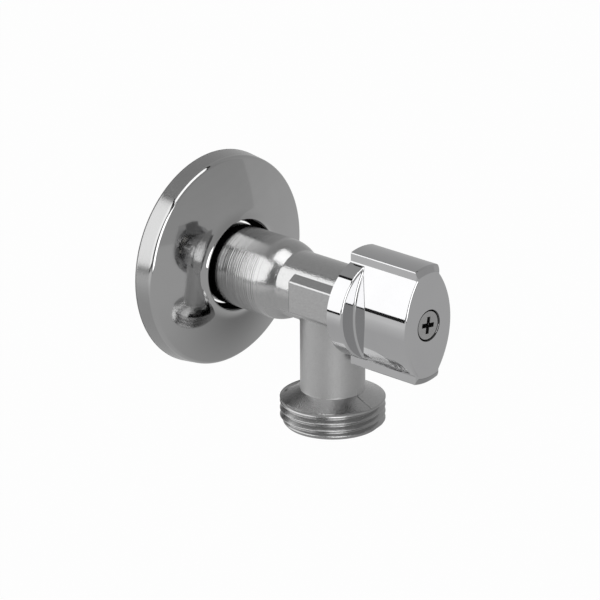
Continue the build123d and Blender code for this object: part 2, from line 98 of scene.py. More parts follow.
@dataclass
class NodeGraph:
    """Small helper that adds nodes to a tree and wires them.

    Args:
        tree: Node tree of a material or of the world.
    """

    tree: bpy.types.NodeTree

    def add(self, kind: str, **values: object) -> bpy.types.Node:
        """Adds a node and sets its properties.

        Args:
            kind: Node type without its ShaderNode prefix.
            values: Properties by name.

        Returns:
            The new node.
        """
        node = self.tree.nodes.new("ShaderNode" + kind)
        for name, value in values.items():
            setattr(node, name, value)
        return node

    def feed(self, node: bpy.types.Node, socket: "int | str", source: object) -> None:
        """Sets an input to a constant, or links it to another node's output.

        Args:
            node: Node that has the input.
            socket: Name or place of the input.
            source: A number, a vector, a colour or an output socket.
        """
        if isinstance(source, bpy.types.NodeSocket):
            self.tree.links.new(source, node.inputs[socket])
        else:
            node.inputs[socket].default_value = source

    def math(self, operation: str, first: object, second: object = 0.0) -> bpy.types.NodeSocket:
        """Adds a Math node on one or two values.

        Args:
            operation: Name of the operation.
            first: A number or an output.
            second: A number or an output.

        Returns:
            The output of the node.
        """
        node = self.add("Math", operation=operation)
        self.feed(node, 0, first)
        self.feed(node, 1, second)
        return node.outputs[0]

    def ramp(self, value: bpy.types.NodeSocket, low: float, high: float) -> bpy.types.NodeSocket:
        """Smooth step of a value, 0 at the low end and 1 at the high end.

        Args:
            value: Output to remap.
            low: Value that gives 0.
            high: Value that gives 1.

        Returns:
            The output of the remap node.
        """
        node = self.add("MapRange", interpolation_type="SMOOTHSTEP")
        self.feed(node, "Value", value)
        self.feed(node, "From Min", low)
        self.feed(node, "From Max", high)
        return node.outputs["Result"]

    def spread(self, value: bpy.types.NodeSocket, low: float, high: float) -> bpy.types.NodeSocket:
        """Straight remap of a value from 0..1 to a range.

        Args:
            value: Output between 0 and 1.
            low: Result at 0.
            high: Result at 1.

        Returns:
            The output of the remap node.
        """
        node = self.add("MapRange")
        self.feed(node, "Value", value)
        self.feed(node, "To Min", low)
        self.feed(node, "To Max", high)
        return node.outputs["Result"]

    def blend(self, first: object, second: object, share: bpy.types.NodeSocket) -> bpy.types.NodeSocket:
        """Mixes two values by a share of the second.

        Args:
            first: Value at a share of 0.
            second: Value at a share of 1.
            share: Output between 0 and 1.

        Returns:
            The mixed value.
        """
        node = self.add("Mix", data_type="FLOAT")
        self.feed(node, 0, share)
        for socket, source in zip(MIX_VALUES, (first, second)):
            self.feed(node, socket, source)
        return node.outputs[0]

    def place(self, scale: tuple[float, float, float]) -> bpy.types.NodeSocket:
        """Object coordinates in millimetres, stretched by a scale.

        Args:
            scale: Stretch along X, Y and Z.

        Returns:
            The vector output.
        """
        coordinates = self.add("TexCoord")
        mapping = self.add("Mapping")
        self.feed(mapping, "Vector", coordinates.outputs["Object"])
        self.feed(mapping, "Scale", tuple(part / MM for part in scale))
        return mapping.outputs["Vector"]

    def noise(self, scale: tuple[float, float, float], detail: float = 2.0) -> bpy.types.NodeSocket:
        """Noise on Object coordinates, with its lumps counted per millimetre along each axis.

        Args:
            scale: Lumps per millimetre along X, Y and Z.
            detail: Octaves of the noise.

        Returns:
            The noise value between 0 and 1.
        """
        node = self.add("TexNoise")
        self.feed(node, "Vector", self.place(scale))
        self.feed(node, "Scale", 1.0)
        self.feed(node, "Detail", detail)
        return node.outputs["Fac"]

    def bump(self, height: bpy.types.NodeSocket, depth: float, under: object = None) -> bpy.types.NodeSocket:
        """Bump node of a given depth, laid over another normal.

        Args:
            height: Height between 0 and 1.
            depth: Depth in millimetres.
            under: Normal output that it adds to, or None.

        Returns:
            The normal output.
        """
        node = self.add("Bump")
        self.feed(node, "Height", height)
        self.feed(node, "Strength", 1.0)
        self.feed(node, "Distance", depth * MM)
        if under is not None:
            self.feed(node, "Normal", under)
        return node.outputs["Normal"]

    def axes(self) -> bpy.types.bpy_prop_collection:
        """Object coordinates in millimetres, one by one.

        Returns:
            The outputs, named X, Y and Z.
        """
        node = self.add("SeparateXYZ")
        self.feed(node, "Vector", self.place((1.0, 1.0, 1.0)))
        return node.outputs

    def radius(self) -> bpy.types.NodeSocket:
        """Distance from the valve's axis, the length of the coordinates with no Y.

        Returns:
            The distance output, in millimetres.
        """
        node = self.add("VectorMath", operation="LENGTH")
        self.feed(node, 0, self.place((1.0, 0.0, 1.0)))
        return node.outputs["Value"]

    def beyond(self, value: bpy.types.NodeSocket, edge: float) -> bpy.types.NodeSocket:
        """Sharp step of a value, 0 before an edge and 1 after it."""
        return self.ramp(value, edge - EDGE_BLUR, edge + EDGE_BLUR)

    def below(self, height: bpy.types.NodeSocket, start: float, run: float) -> bpy.types.NodeSocket:
        """Step of a height, 0 down to the drop where it starts and 1 from one run below that."""
        return self.ramp(height, -start, -start - run)

    # Painted shade: the reflectance falls low inside a bore
    def plated(self, bore: float) -> bpy.types.NodeSocket:
        """Share of the reflectance, 1 on the plate and low inside a bore, where shade is painted dark."""
        return self.spread(self.beyond(self.radius(), bore), BORE_SHADE, 1.0)

    def wear(self) -> tuple[bpy.types.NodeSocket, bpy.types.NodeSocket]:
        """Haze of a plated surface and the hairline scratches that show in it.

        Returns:
            The haze and the scratches, both from 0 to 1.
        """
        haze = self.noise(HAZE_SCALE, detail=3.0)
        scratch = self.noise(SCRATCH_SCALE, detail=3.0)
        return haze, self.math("MULTIPLY", self.ramp(scratch, *SCRATCH_SHOWS), haze)

    def grey(self, tint: bpy.types.NodeSocket, blue: object = None) -> bpy.types.NodeSocket:
        """Colour with one value in red, green and blue.

        Args:
            tint: Value of the colour.
            blue: Another value for blue, or None.

        Returns:
            The colour output.
        """
        node = self.add("CombineColor")
        self.feed(node, "Red", tint)
        self.feed(node, "Green", tint)
        self.feed(node, "Blue", tint if blue is None else blue)
        return node.outputs["Color"]

    def mix(self, first: object, second: object, share: bpy.types.NodeSocket) -> bpy.types.NodeSocket:
        """Mixes two colours by a share of the second.

        Args:
            first: Colour at a share of 0.
            second: Colour at a share of 1.
            share: Output between 0 and 1.

        Returns:
            The mixed colour.
        """
        node = self.add("Mix", data_type="RGBA")
        self.feed(node, "Factor", share)
        for socket, source in zip(MIX_COLOURS, (first, second)):
            self.feed(node, socket, source)
        return node.outputs[MIX_COLOUR_OUT]

    def shades(
        self, colour: tuple[float, float, float], tints: tuple[float, float], share: bpy.types.NodeSocket
    ) -> bpy.types.NodeSocket:
        """Mixes a darker and a lighter shade of a colour.

        Args:
            colour: Colour as red, green and blue.
            tints: Strength of the darker and of the lighter shade.
            share: Share of the lighter shade.

        Returns:
            The mixed colour.
        """
        darker, lighter = (tuple(min(part * tint, 1.0) for part in colour) + (1.0,) for tint in tints)
        return self.mix(darker, lighter, share)

    def metal(
        self, surface: bpy.types.Node, colour: object, rough: object, normal: bpy.types.NodeSocket
    ) -> None:
        """Feeds a Principled surface as bare or plated metal.

        Args:
            surface: Principled node.
            colour: Reflectance, straight on.
            rough: Roughness.
            normal: Normal output of its bumps.
        """
        self.feed(surface, "Base Color", colour)
        self.feed(surface, "Metallic", 1.0)
        self.feed(surface, "Roughness", rough)
        self.feed(surface, "Normal", normal)


def new_material(name: str) -> tuple[bpy.types.Material, NodeGraph, bpy.types.Node]:
    """Starts a node material with an empty Principled surface.

    Args:
        name: Name of the material.

    Returns:
        The material, its graph and its Principled node.
    """
    material = bpy.data.materials.new(name)
    material.use_nodes = True
    graph = NodeGraph(material.node_tree)
    surface = material.node_tree.nodes["Principled BSDF"]
    return material, graph, surface


@dataclass(frozen=True)
class Plating:
    """Bright chrome plate: a mirror with faint waves and hairline scratches.

    Args:
        name: Name of the material.
        grey: Reflectance, straight on.
        roughness: Roughness between the scratches.
        wave: Depth of the long waves, in millimetres.
        wave_scale: Waves per millimetre.
        bore: Radius inside which the screw's seat is painted dark as shade, in millimetres.
        blue: Blue of the plate as a share of its red and green.
    """

    name: str
    grey: float
    roughness: float
    wave: float
    wave_scale: float
    bore: float
    blue: float = 1.01

    def material(self) -> bpy.types.Material:
        """Builds the plate's material.

        Returns:
            The material.
        """
        material, graph, surface = new_material(self.name)
        wave = graph.noise((self.wave_scale,) * 3, detail=1.0)
        haze, worn = graph.wear()
        rough = graph.spread(worn, self.roughness, self.roughness + SCRATCH_ROUGHNESS)
        tint = graph.spread(haze, self.grey * (1 - HAZE_TINT), self.grey * (1 + HAZE_TINT))
        # The screw's seat inside the bore is painted dark as shade
        tint = graph.math("MULTIPLY", tint, graph.plated(self.bore))
        colour = graph.grey(tint, graph.math("MULTIPLY", tint, self.blue))
        graph.metal(surface, colour, rough, graph.bump(wave, self.wave))
        return material


@dataclass(frozen=True)
class RimmedPlating:
    """Chrome on a spun sheet: a hazed mirror with a brushed, duller rim.

    Args:
        name: Name of the material.
        grey: Reflectance of the dome, straight on.
        rim_grey: Reflectance of the rim.
        rim_to: Station where the rim ends, in millimetres.
        rim_blur: Half of the stretch over which it ends, in millimetres.
        roughness: Roughness of the dome.
        rim_roughness: Roughness of the rim.
        wave: Depth of the pressed sheet's long waves, in millimetres.
        wave_scale: Waves per millimetre.
        lines: Depth of the spun lines, in millimetres.
        line_scale: Lines per millimetre along X, Y and Z.
        bore: Radius inside which the hub is painted dark as shade, in millimetres.
    """

    name: str
    grey: float = 0.5
    rim_grey: float = 0.42
    rim_to: float = 4.2
    rim_blur: float = 0.3
    roughness: float = 0.07
    rim_roughness: float = 0.2
    wave: float = 0.006
    wave_scale: float = 0.09
    lines: float = 0.003
    line_scale: tuple[float, float, float] = (0.04, 5.0, 0.04)
    bore: float = 11.85

    def material(self) -> bpy.types.Material:
        """Builds the material, with the rim told apart by its station and the bore by its radius.

        Returns:
            The material.
        """
        material, graph, surface = new_material(self.name)
        rim = graph.ramp(graph.axes()["Y"], -self.rim_to - self.rim_blur, -self.rim_to + self.rim_blur)
        wave = graph.noise((self.wave_scale,) * 3, detail=1.0)
        lines = graph.noise(self.line_scale, detail=3.0)
        haze, worn = graph.wear()
        rough = graph.blend(self.roughness, self.rim_roughness, rim)
        rough = graph.math("ADD", rough, graph.math("MULTIPLY", worn, SCRATCH_ROUGHNESS))
        grey = graph.blend(self.grey, self.rim_grey, rim)
        tint = graph.math("MULTIPLY", grey, graph.spread(haze, 1 - HAZE_TINT, 1 + HAZE_TINT))
        # The hub's bore is painted dark as shade
        tint = graph.math("MULTIPLY", tint, graph.plated(self.bore))
        normal = graph.bump(wave, self.wave)
        normal = graph.bump(graph.math("MULTIPLY", lines, rim), self.lines, normal)
        graph.metal(surface, graph.grey(tint), rough, normal)
        return material


@dataclass(frozen=True)
class CastPlating:
    """Chrome over a blasted casting, with turned lines on the tube and machined threads.

    Args:
        name: Name of the material.
        grey: Reflectance, straight on.
        turned_to: Station where the turned tube ends, in millimetres.
        turned_fade: How far before and past it the turned lines fade out, in millimetres.
        dull_from: Drop where the duller outlet pipe starts, in millimetres.
        dull_run: Length over which it grows dull, in millimetres.
        shoulder_from: Drop where its bright shoulder starts, in millimetres.
        shoulder_run: Length over which the shoulder turns bright, in millimetres.
        seam_from: Drop where the casting's parting line starts to show, in millimetres.
        seam_run: Length over which the line rises, in millimetres.
        threaded_from: Drop where the hose thread starts, in millimetres.
        threaded_run: Length over which its finish starts, in millimetres.
        grain: Depth of the blasted grain, in millimetres.
        pit_scale: Pits of the grain per millimetre.
        pit_share: Share of the pits in the grain, with lumps as the rest.
        lump_scale: Lumps of the grain per millimetre.
        rings: Depth of the turned lines, in millimetres.
        ring_scale: Turned lines per millimetre along X, Y and Z.
        seam: Height of the parting line, in millimetres.
        seam_width: Half width of the parting line, in millimetres.
        bright_rough: Lowest and highest roughness of the bright casting.
        dull_rough: Lowest and highest roughness of the outlet pipe.
        turned_rough: Lowest and highest roughness of the turned tube.
        threaded_rough: Lowest and highest roughness of the thread.
        tints: Darkest and lightest share of the reflectance over the grain.
        thread_shade: Share of the reflectance left on the thread, painted shade for its grooves.
    """

    name: str
    grey: float = 0.5
    turned_to: float = 25.4
    turned_fade: tuple[float, float] = (0.1, 0.6)
    dull_from: float = 2.0
    dull_run: float = 6.0
    shoulder_from: float = 24.6
    shoulder_run: float = 0.15
    seam_from: float = 23.0
    seam_run: float = 1.5
    threaded_from: float = 26.7
    threaded_run: float = 0.2
    grain: float = 0.05
    pit_scale: float = 2.6
    pit_share: float = 0.7
    lump_scale: float = 0.8
    rings: float = 0.08
    ring_scale: tuple[float, float, float] = (0.02, 3.0, 0.02)
    seam: float = 0.12
    seam_width: float = 0.22
    bright_rough: tuple[float, float] = (0.1, 0.22)
    dull_rough: tuple[float, float] = (0.34, 0.46)
    turned_rough: tuple[float, float] = (0.1, 0.18)
    threaded_rough: tuple[float, float] = (0.2, 0.3)
    tints: tuple[float, float] = (0.86, 1.12)
    thread_shade: float = 0.85

    def material(self) -> bpy.types.Material:
        """Builds the material, with its zones told apart by Object coordinates.

        Returns:
            The material.
        """
        material, graph, surface = new_material(self.name)
        axes = graph.axes()
        before, past = self.turned_fade
        turned = graph.ramp(axes["Y"], -self.turned_to - past, -self.turned_to + before)
        piped = graph.below(axes["Z"], self.dull_from, self.dull_run)
        shoulder = graph.below(axes["Z"], self.shoulder_from, self.shoulder_run)
        dull = graph.math("MULTIPLY", piped, graph.math("SUBTRACT", 1.0, shoulder))
        seamed = graph.below(axes["Z"], self.seam_from, self.seam_run)
        threaded = graph.below(axes["Z"], self.threaded_from, self.threaded_run)
        cast = graph.math("SUBTRACT", 1.0, graph.math("MAXIMUM", turned, threaded))
        pits = graph.noise((self.pit_scale,) * 3, detail=3.0)
        lumps = graph.noise((self.lump_scale,) * 3)
        pitted = graph.math("MULTIPLY", pits, self.pit_share)
        skin = graph.math("ADD", pitted, graph.math("MULTIPLY", lumps, 1 - self.pit_share))
        coarse = graph.math("ADD", cast, graph.math("MULTIPLY", shoulder, cast))
        normal = graph.bump(graph.math("MULTIPLY", skin, coarse), self.grain)
        lines = graph.noise(self.ring_scale, detail=3.0)
        normal = graph.bump(graph.math("MULTIPLY", lines, turned), self.rings, normal)
        offset = graph.math("DIVIDE", axes["X"], self.seam_width)
        square = graph.math("MULTIPLY", offset, offset)
        ridge = graph.math("POWER", math.e, graph.math("MULTIPLY", square, -1.0))
        shown = graph.math("MULTIPLY", seamed, cast)
        normal = graph.bump(graph.math("MULTIPLY", ridge, shown), self.seam, normal)
        rough = graph.spread(pits, *self.bright_rough)
        rough = graph.blend(rough, graph.spread(pits, *self.dull_rough), dull)
        rough = graph.blend(rough, graph.spread(lines, *self.turned_rough), turned)
        rough = graph.blend(rough, graph.spread(pits, *self.threaded_rough), threaded)
        tint = graph.spread(skin, *(self.grey * share for share in self.tints))
        # The thread is painted darker as shade for its grooves
        tint = graph.math("MULTIPLY", tint, graph.spread(threaded, 1.0, self.thread_shade))
        graph.metal(surface, graph.grey(tint), rough, normal)
        return material


@dataclass(frozen=True)
class TurnedMetal:
    """Turned or stamped metal with lines about the valve's axis.

    Args:
        name: Name of the material.
        colour: Reflectance as red, green and blue.
        roughness: Roughness at the smoothest place.
        lines: Depth of the turned lines, in millimetres.
        line_scale: Lines per millimetre along X, Y and Z.
        stain_scale: Stains per millimetre.
        stain_tints: Darkest and lightest share of the colour over the stains.
        stain_roughness: Roughness that the stains add.
        painted_shade_to: Station up to which the metal is painted dark as shade, in millimetres, or None.
        shade_fade: Depth over which the painted shade sets in, in millimetres.
        painted_shade_from: Radius outside which the metal is painted dark as shade too, in millimetres.
        shade_share: Share of the colour that the painted shade leaves.
        shade_roughness: Roughness where the shade is painted.
    """

    name: str
    colour: tuple[float, float, float]
    roughness: float = 0.2
    lines: float = 0.004
    line_scale: tuple[float, float, float] = (0.05, 6.0, 0.05)
    stain_scale: float = 0.4
    stain_tints: tuple[float, float] = (0.85, 1.1)
    stain_roughness: float = 0.15
    painted_shade_to: "float | None" = None
    shade_fade: float = 0.2
    painted_shade_from: float = 0.0
    shade_share: float = 0.05
    shade_roughness: float = 0.8

    def material(self) -> bpy.types.Material:
        """Builds the metal's material, painted dark as shade behind a station and outside a radius.

        Returns:
            The material.
        """
        material, graph, surface = new_material(self.name)
        lines = graph.noise(self.line_scale, detail=3.0)
        stain = graph.noise((self.stain_scale,) * 3, detail=3.0)
        colour = graph.shades(self.colour, self.stain_tints, stain)
        rough = graph.spread(stain, self.roughness, self.roughness + self.stain_roughness)
        # Shade painted dark behind a station and outside a radius, with more roughness there
        if self.painted_shade_to is not None:
            deep = graph.ramp(graph.axes()["Y"], -self.painted_shade_to, -self.painted_shade_to + self.shade_fade)
            painted_shade = graph.math("MAXIMUM", deep, graph.beyond(graph.radius(), self.painted_shade_from))
            dark = tuple(part * self.shade_share for part in self.colour) + (1.0,)
            colour = graph.mix(colour, dark, painted_shade)
            rough = graph.blend(rough, self.shade_roughness, painted_shade)
        graph.metal(surface, colour, rough, graph.bump(lines, self.lines))
        return material


@dataclass(frozen=True)
class Moulding:
    """Moulded or fired non-metal with a fine skin.

    Args:
        name: Name of the material.
        colour: Colour as red, green and blue.
        roughness: Mean roughness.
        skin: Depth of the surface grain, in millimetres.
        skin_scale: Grains per millimetre.
        cloud_scale: Clouds of the colour per millimetre.
        cloud_tints: Darkest and lightest share of the colour over the clouds.
        cloud_roughness: Roughness that the clouds add or take.
    """

    name: str
    colour: tuple[float, float, float]
    roughness: float
    skin: float
    skin_scale: float = 3.0
    cloud_scale: float = 0.5
    cloud_tints: tuple[float, float] = (0.9, 1.06)
    cloud_roughness: float = 0.06

    def material(self) -> bpy.types.Material:
        """Builds the moulding's material.

        Returns:
            The material.
        """
        material, graph, surface = new_material(self.name)
        skin = graph.noise((self.skin_scale,) * 3)
        cloud = graph.noise((self.cloud_scale,) * 3, detail=3.0)
        span = self.cloud_roughness
        graph.feed(surface, "Base Color", graph.shades(self.colour, self.cloud_tints, cloud))
        graph.feed(surface, "Roughness", graph.spread(cloud, self.roughness - span, self.roughness + span))
        graph.feed(surface, "Normal", graph.bump(skin, self.skin))
        return material


@dataclass(frozen=True)
class Surface:
    """Grid of points over two parameters, ready to become a mesh.

    Args:
        points: Array of shape (rows, columns, 3), in metres.
        closed: True if the last column joins the first.
        looped: True if the last row joins the first.
    """

    points: np.ndarray
    closed: bool = False
    looped: bool = False

    def faces(self) -> np.ndarray:
        """Corner numbers of the quads between neighbouring rows and columns.

        Returns:
            Array of shape (n, 4).
        """
        rows, columns = self.points.shape[:2]
        numbers = np.arange(rows * columns).reshape(rows, columns)
        if self.closed:
            numbers = np.concatenate([numbers, numbers[:, :1]], axis=1)
        if self.looped:
            numbers = np.concatenate([numbers, numbers[:1]], axis=0)
        corners = (numbers[:-1, :-1], numbers[:-1, 1:], numbers[1:, 1:], numbers[1:, :-1])
        return np.stack(corners, axis=-1).reshape(-1, 4)

    def mesh(self, name: str) -> bpy.types.Mesh:
        """Mesh of the grid, smooth shaded.

        Args:
            name: Name of the mesh.

        Returns:
            The new mesh.
        """
        mesh = bpy.data.meshes.new(name)
        mesh.from_pydata(self.points.reshape(-1, 3), [], self.faces())
        mesh.shade_smooth()
        return mesh


def show(name: str, mesh: bpy.types.Mesh) -> bpy.types.Object:
    """Puts a mesh into the scene as an object at the origin.

    Args:
        name: Name of the object.
        mesh: Its mesh.

    Returns:
        The new object.
    """
    shown = bpy.data.objects.new(name, mesh)
    bpy.context.scene.collection.objects.link(shown)
    return shown


def read(rows: bpy.types.bpy_prop_collection, name: str, kind: type, width: int) -> np.ndarray:
    """Reads one property of every row into an array.

    Args:
        rows: Vertices, corners or an attribute's values.
        name: Name of the property.
        kind: Type of its numbers.
        width: Numbers in a row.

    Returns:
        Array of shape (rows, width).
    """
    flat = np.empty(len(rows) * width, kind)
    rows.foreach_get(name, flat)
    return flat.reshape(-1, width)


def join_meshes(name: str, parts: list[bpy.types.Mesh]) -> bpy.types.Mesh:
    """Stacks meshes into one, keeping the normal that each has at every corner.

    Points, corners and normals follow one another, and a part's corner numbers grow by the points
    that stand before it.

    Args:
        name: Name of the new mesh.
        parts: Meshes to stack.

    Returns:
        The new mesh.
    """
    points = [read(part.vertices, "co", np.float32, 3) for part in parts]
    normals = [read(part.corner_normals, "vector", np.float32, 3) for part in parts]
    starts = np.cumsum([0] + [len(block) for block in points])
    numbers = [read(part.loops, "vertex_index", np.int32, 1)[:, 0] for part in parts]
    corners = [block + start for block, start in zip(numbers, starts)]
    sides = np.concatenate([read(part.polygons, "loop_total", np.int32, 1)[:, 0] for part in parts])
    faces = np.split(np.concatenate(corners), np.cumsum(sides)[:-1])
    mesh = bpy.data.meshes.new(name)
    mesh.from_pydata(np.concatenate(points), [], faces)
    mesh.shade_smooth()
    mesh.normals_split_custom_set(np.concatenate(normals))
    return mesh


def turn_profile(profile: np.ndarray, around: int, looped: bool = False) -> Surface:
    """Carries a profile about the valve's axis.

    A point is (radius cos, -station, radius sin), rows along the profile and columns about the axis.

    Args:
        profile: Array of radius and station, with the solid at the left of its run.
        around: Points about the axis.
        looped: True if the profile's end joins its start.

    Returns:
        The closed surface.
    """
    angle = np.linspace(0, 2 * np.pi, around, endpoint=False)[None, :]
    radius = profile[:, :1]
    station = np.broadcast_to(profile[:, 1:], (len(profile), around))
    points = np.stack([radius * np.cos(angle), -station, radius * np.sin(angle)], axis=-1)
    return Surface(points, True, looped)


def arc(centre: tuple[float, float], radius: float, start: float, end: float, count: int) -> np.ndarray:
    """Points on an arc of a profile, as radius and station.

    Args:
        centre: Radius and station of the arc's centre.
        radius: Radius of the arc.
        start: First angle in radians, from growing radius towards growing station.
        end: Last angle.
        count: Number of points.

    Returns:
        Array of shape (count, 2).
    """
    angle = np.linspace(start, end, count)
    return np.array(centre) + radius * np.stack([np.cos(angle), np.sin(angle)], axis=-1)


@dataclass(frozen=True)
class PipeThread:
    """Right-hand pipe thread as a helicoid about one axis.

    Args:
        crest: Radius over the ridges.
        depth: Depth of the thread.
        pitch: Advance of one turn.
        first: Place along the axis where the threaded stretch starts.
        last: Place along the axis where it ends.
        starts_full: True if the first rim stands at the crest, not at the root.
        sharpness: How close the ridges are to plain triangles, below 1.
        lead: Length over which the ridges rise out of the root.
        around: Points about the axis.
        steps_a_turn: Rows for one turn.
    """

    crest: float
    depth: float = 1.162 * MM
    pitch: float = 1.814 * MM
    first: float = 0.0
    last: float = 0.0
    starts_full: bool = False
    sharpness: float = 0.99
    lead: float = 1.1 * MM
    around: int = 144
    steps_a_turn: int = 22

    def radii(self, along: np.ndarray, turn: np.ndarray) -> np.ndarray:
        """Radius of the thread at places along the axis and angles about it.

        The ridge is arcsin(k cos(2 pi (place / pitch - angle / turn))) over arcsin(k), a triangle
        wave with rounded crests and roots, raised to 0..1 and scaled by the depth. Smooth steps over
        the lead at both ends bring it down to the root, or up to the crest at a full start.

        Args:
            along: Places along the axis, broadcast against the angles.
            turn: Angles as fractions of a turn.

        Returns:
            The radii.
        """
        phase = 2 * np.pi * ((along - self.first) / self.pitch - turn)
        wave = np.arcsin(self.sharpness * np.cos(phase)) / math.asin(self.sharpness)
        ridge = 0.5 + 0.5 * wave
        fade_in = np.clip((along - self.first) / self.lead, 0, 1)
        fade_out = np.clip((self.last - along) / self.lead, 0, 1)
        rise = fade_in ** 2 * (3 - 2 * fade_in)
        fall = fade_out ** 2 * (3 - 2 * fade_out)
        started = 1 - (1 - ridge) * rise if self.starts_full else ridge * rise
        return self.crest - self.depth + self.depth * started * fall

    def surface(self, origin: np.ndarray, axis: np.ndarray, across: np.ndarray) -> Surface:
        """Helicoid as a grid: rows run along the axis and columns about it.

        A point is origin + axis * place + radius * (across * cos + (axis x across) * sin).

        Args:
            origin: Point on the axis that places are measured from.
            axis: Unit direction of growing place.
            across: Unit direction square to the axis, at angle zero.

        Returns:
            The closed surface.
        """
        rows = int(self.steps_a_turn * (self.last - self.first) / self.pitch) + 1
        along = np.linspace(self.first, self.last, rows)[:, None]
        turn = (np.arange(self.around) / self.around)[None, :]
        radius = self.radii(along, turn)
        angle = 2 * np.pi * turn
        side = np.cross(axis, across)
        ring = np.cos(angle)[..., None] * across + np.sin(angle)[..., None] * side
        points = origin + along[..., None] * axis + radius[..., None] * ring
        return Surface(points, closed=True)


@dataclass
class ValveBody:
    """Cast body with true helical threads and a smooth neck in place of the solid's rings, tube and ball.

    Args:
        inlet: Thread at the wall.
        outlet: Thread at the hose.
        outlet_reach: Station of the outlet's axis.
        tube: Radius of the turned tube and of the ball that ends it.
        tube_from: Station where the tube starts.
        ball_reach: Station of the ball's middle.
        barrel: Radius of the barrel.
        ball_fillet: Radius of the hollow between ball and barrel.
        barrel_from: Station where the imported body's own barrel starts.
        margin: Depth below a thread or the neck where its faces still belong to it.
        weld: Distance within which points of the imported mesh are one.
        rows: Points along the tube, the ball and the hollow.
        around: Points about the neck's axis.
        finish: Finish of the whole piece.
    """

    inlet: PipeThread = PipeThread(crest=10.4775 * MM, first=-12.0 * MM, last=1.249 * MM)
    outlet: PipeThread = PipeThread(crest=13.2205 * MM, first=26.9 * MM, last=33.7 * MM, starts_full=True)
    outlet_reach: float = 41.25 * MM
    tube: float = 10.3 * MM
    tube_from: float = 5.162 * MM
    ball_reach: float = 23.9 * MM
    barrel: float = 8.45 * MM
    ball_fillet: float = 1.6 * MM
    barrel_from: float = 31.248 * MM
    margin: float = 0.3 * MM
    weld: float = 0.001 * MM
    rows: tuple[int, int, int] = (24, 40, 16)
    around: int = 160
    finish: CastPlating = CastPlating("body_cast_chrome")

    def bare_casting(self) -> bpy.types.Mesh:
        """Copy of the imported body's mesh, merged, without its thread rings, tube and ball.

        Its normals are carried over the merge in an attribute of the corners.

        Returns:
            The open mesh.
        """
        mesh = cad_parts["valve_body"].data.copy()
        mesh.name = "valve_casting"
        normals = read(mesh.corner_normals, "vector", np.float32, 3)
        kept = mesh.attributes.new("kept_normal", "FLOAT_VECTOR", "CORNER")
        kept.data.foreach_set("vector", normals.ravel())
        sheet = bmesh.new()
        sheet.from_mesh(mesh)
        bmesh.ops.remove_doubles(sheet, verts=sheet.verts, dist=self.weld)
        middles = np.array([face.calc_center_median() for face in sheet.faces])
        station = -middles[:, 1]
        drop = -middles[:, 2]
        inlet_r = np.hypot(middles[:, 0], middles[:, 2])
        outlet_r = np.hypot(middles[:, 0], station - self.outlet_reach)
        at_inlet = (station > self.inlet.first) & (station < self.inlet.last)
        at_inlet &= inlet_r > self.inlet.crest - self.inlet.depth - self.margin
        at_outlet = (drop > self.outlet.first) & (drop < self.outlet.last)
        at_outlet &= outlet_r > self.outlet.crest - self.outlet.depth - self.margin
        at_neck = (station > self.tube_from) & (station < self.barrel_from)
        at_neck &= inlet_r > self.barrel - self.margin
        taken = [face for face, gone in zip(sheet.faces, at_inlet | at_outlet | at_neck) if gone]
        bmesh.ops.delete(sheet, geom=taken, context="FACES")
        sheet.to_mesh(mesh)
        sheet.free()
        kept = mesh.attributes["kept_normal"]
        normals = read(kept.data, "vector", np.float32, 3)
        mesh.attributes.remove(kept)
        mesh.normals_split_custom_set(normals)
        return mesh

    def neck(self) -> Surface:
        """Tube, ball and the hollow behind it, turned from one profile with no step between them.

        The tube runs straight to the ball's middle, the ball's arc falls from there to where the
        hollow's arc touches it, and the hollow runs out into the barrel.

        Returns:
            The surface.
        """
        level = self.barrel + self.ball_fillet
        reach = self.tube + self.ball_fillet
        lean = math.asin(math.sqrt(reach ** 2 - level ** 2) / reach)
        middle = (0.0, self.ball_reach)
        hollow = (level, self.ball_reach + reach * math.sin(lean))
        tube_rows, ball_rows, dip_rows = self.rows
        straight = np.linspace((self.tube, self.tube_from), (self.tube, self.ball_reach), tube_rows)
        ball = arc(middle, self.tube, 0.0, lean, ball_rows)[1:]
        dip = arc(hollow, self.ball_fillet, math.pi + lean, math.pi, dip_rows)[1:]
        profile = np.concatenate([straight, ball, dip, [(self.barrel, self.barrel_from)]])
        return turn_profile(profile, self.around)

    def build(self) -> bpy.types.Object:
        """Joins the casting, its neck and its two threads into one piece that stands for the solid.

        Returns:
            The new piece.
        """
        casting = self.bare_casting()
        inlet = self.inlet.surface(np.zeros(3), np.array([0.0, -1.0, 0.0]), np.array([1.0, 0.0, 0.0]))
        foot = np.array([0.0, -self.outlet_reach, 0.0])
        outlet = self.outlet.surface(foot, np.array([0.0, 0.0, -1.0]), np.array([1.0, 0.0, 0.0]))
        turned = [inlet.mesh("inlet_helix"), outlet.mesh("outlet_helix"), self.neck().mesh("neck")]
        joined = join_meshes("valve_body_threaded", [casting, *turned])
        joined.materials.append(self.finish.material())
        piece = show("valve_body_threaded", joined)
        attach(piece, Body.VALVE.value)
        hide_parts("valve_body")
        return piece


